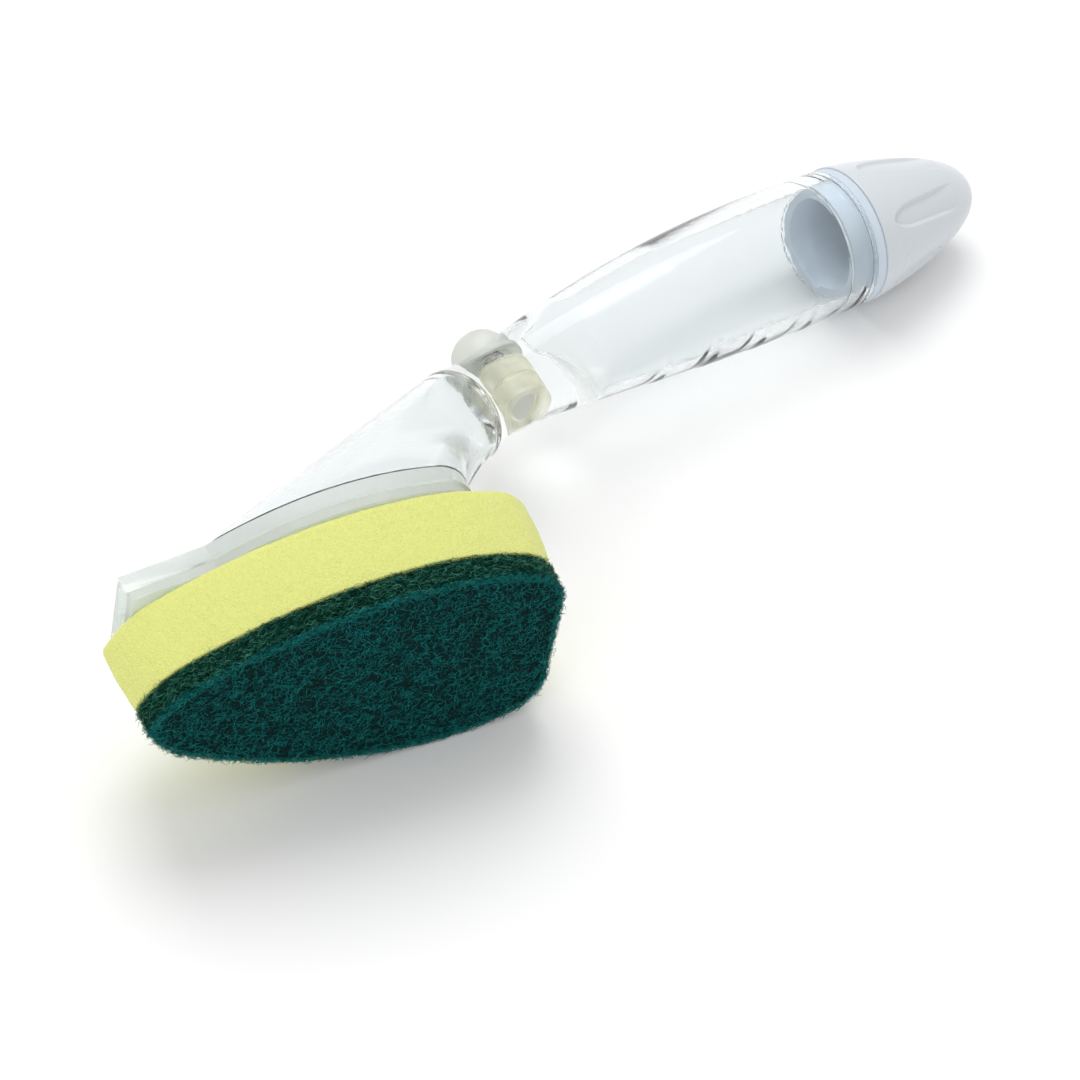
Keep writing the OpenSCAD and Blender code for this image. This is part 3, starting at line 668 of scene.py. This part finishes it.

# Fibres: their darker and their lighter green, roughness
# The deeper face fibres take a darker green: painted shade.
SHADED_FIBRE = fibre_material("pad_fibre", (0.0002, 0.030, 0.030), (0.001, 0.085, 0.083), 0.5)
# The fibres on the face itself and at its rim take a lighter green: painted light.
LIT_FIBRE = fibre_material("pad_fibre_light", (0.001, 0.12, 0.118), (0.012, 0.28, 0.27), 0.5)
EDGE = fibre_material("pad_fibre_edge", (0.0005, 0.035, 0.020), (0.008, 0.11, 0.065), 0.5)
LINT = fibre_material("pad_fibre_lint", (0.02, 0.20, 0.13), (0.12, 0.38, 0.28), 0.45)
# The pad's core is painted near black, darker than the fibres' own green: painted shade in the depths of the
# web.
SHADED_CORE = fibre_material("pad_core", (0.0001, 0.010, 0.0095), (0.0003, 0.020, 0.019), 0.95)


def dress(piece, mat, body):
    """Gives a piece its material, body and material slot."""
    piece.data.materials.clear()
    piece.data.materials.append(mat)
    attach(piece, body)
    return piece


# Pieces
handle = dress(clear_handle(), CLEAR, "handle")
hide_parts("handle_shell", "neck_shell")
cap = dress(end_cap(), CAP, "cap")
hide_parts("end_cap")
button = dress(soap_button(), MILKY, "button")
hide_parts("soap_button")
foam_block = dress(foam(), FOAM, "refill")
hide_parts("foam_sponge")
# The core wears the near-black painted shade of the web's depths.
core = dress(pad_core(), SHADED_CORE, "refill")
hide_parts("scrub_pad")

# Fibres of the face: a dark layer, a dark layer nearer the face, and a light layer on the face itself; the
# deeper layers' darker green is painted shade, and the face layer's lighter green is painted light
FIBRES = 7600
for k, (radius, mat) in enumerate(((0.07, SHADED_FIBRE), (0.07, SHADED_FIBRE), (0.055, LIT_FIBRE))):
    dress(face_fibres(f"pad_face_fibres_{k + 1}", 11 + k, FIBRES, 0.1 + 0.35 * (2 - k), radius),
          mat, "refill")

# Fibres round the edge: seed, number, lowest and highest place, looseness, radius
dress(edge_fibres("pad_edge_fibres", 31, FIBRES, 0.0, 1.0, 0.3, 0.07), EDGE, "refill")
dress(edge_fibres("pad_edge_lint", 32, 3400, 0.0, 1.04, 0.5, 0.055), LINT, "refill")
# The rim's fibres at the scrub face take the lighter green: painted light.
dress(edge_fibres("pad_rim_fibres", 33, 2600, -0.03, 0.12, 0.45, 0.06), LIT_FIBRE, "refill")

for node, mat in {"head_plate": PLATE, "mouth_collar": COLLAR, "cap_seal": MILKY, "spring_cup": WHITE,
                  "return_spring": STEEL, "valve_stem": WHITE, "stem_seal": SEAL, "valve_disc": MILKY,
                  "valve_body": CREAM, "upper_body_seal": SEAL, "lower_body_seal": SEAL,
                  "outlet_valve": MILKY, "carrier_plate": CARRIER}.items():
    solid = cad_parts[node]
    for part_slot in solid.material_slots:
        part_slot.material = mat
    if not solid.material_slots:
        solid.data.materials.append(mat)

# Floor, light and camera
FLOOR_HALF = 4
floor_mesh = bpy.data.meshes.new("floor")
floor_corners = ((-FLOOR_HALF, -FLOOR_HALF, 0), (FLOOR_HALF, -FLOOR_HALF, 0),
                 (FLOOR_HALF, FLOOR_HALF, 0), (-FLOOR_HALF, FLOOR_HALF, 0))
floor_mesh.from_pydata(floor_corners, [], [(0, 1, 2, 3)])
floor = bpy.data.objects.new("floor", floor_mesh)
bpy.context.scene.collection.objects.link(floor)
floor_mesh.materials.append(material("floor_white", Base_Color=(0.93, 0.93, 0.93, 1), Roughness=0.9)[0])

world = bpy.data.worlds.new("studio")
world.use_nodes = True
sky = world.node_tree.nodes["Background"]
sky.inputs["Color"].default_value = (1, 1, 1, 1)
sky.inputs["Strength"].default_value = 0.71
bpy.context.scene.world = world


def softbox(name, at, size, watts):
    """A square area light that looks at the object's middle."""
    target = Vector((0, 0, 0.02))
    light = bpy.data.lights.new(name, "AREA")
    light.shape, light.size, light.energy = "SQUARE", size, watts
    lamp = bpy.data.objects.new(name, light)
    bpy.context.scene.collection.objects.link(lamp)
    lamp.location = at
    lamp.rotation_euler = (target - Vector(at)).to_track_quat("-Z", "Y").to_euler()


softbox("key", (0.23, 0.86, 1.68), 1.2, 18)
softbox("front", (-1.1, -0.9, 0.8), 0.9, 4.5)

# The camera's place and axes in the upright frame, in millimetres
CAMERA_AT = np.array([-282.99, -770.54, -578.69])
VIEW_RIGHT = np.array([0.908034, -0.145688, -0.392746])
VIEW_UP = np.array([0.20338, -0.666325, 0.717389])
VIEW_BACK = np.array([-0.366212, -0.73129, -0.575416])
LENS, SENSOR = 160.917, 36
cam_data = bpy.data.cameras.new("camera")
cam_data.lens, cam_data.sensor_width = LENS, SENSOR
cam_data.clip_start, cam_data.clip_end = 0.05, 50
camera = bpy.data.objects.new("camera", cam_data)
bpy.context.scene.collection.objects.link(camera)
axes = np.stack([LAY @ v for v in (VIEW_RIGHT, VIEW_UP, VIEW_BACK)], 1)
spot = placed(CAMERA_AT[None])[0]
camera.matrix_world = Matrix([[*axes[k], spot[k]] for k in range(3)] + [[0, 0, 0, 1]])
bpy.context.scene.camera = camera
bpy.context.scene.view_settings.view_transform = "Standard"
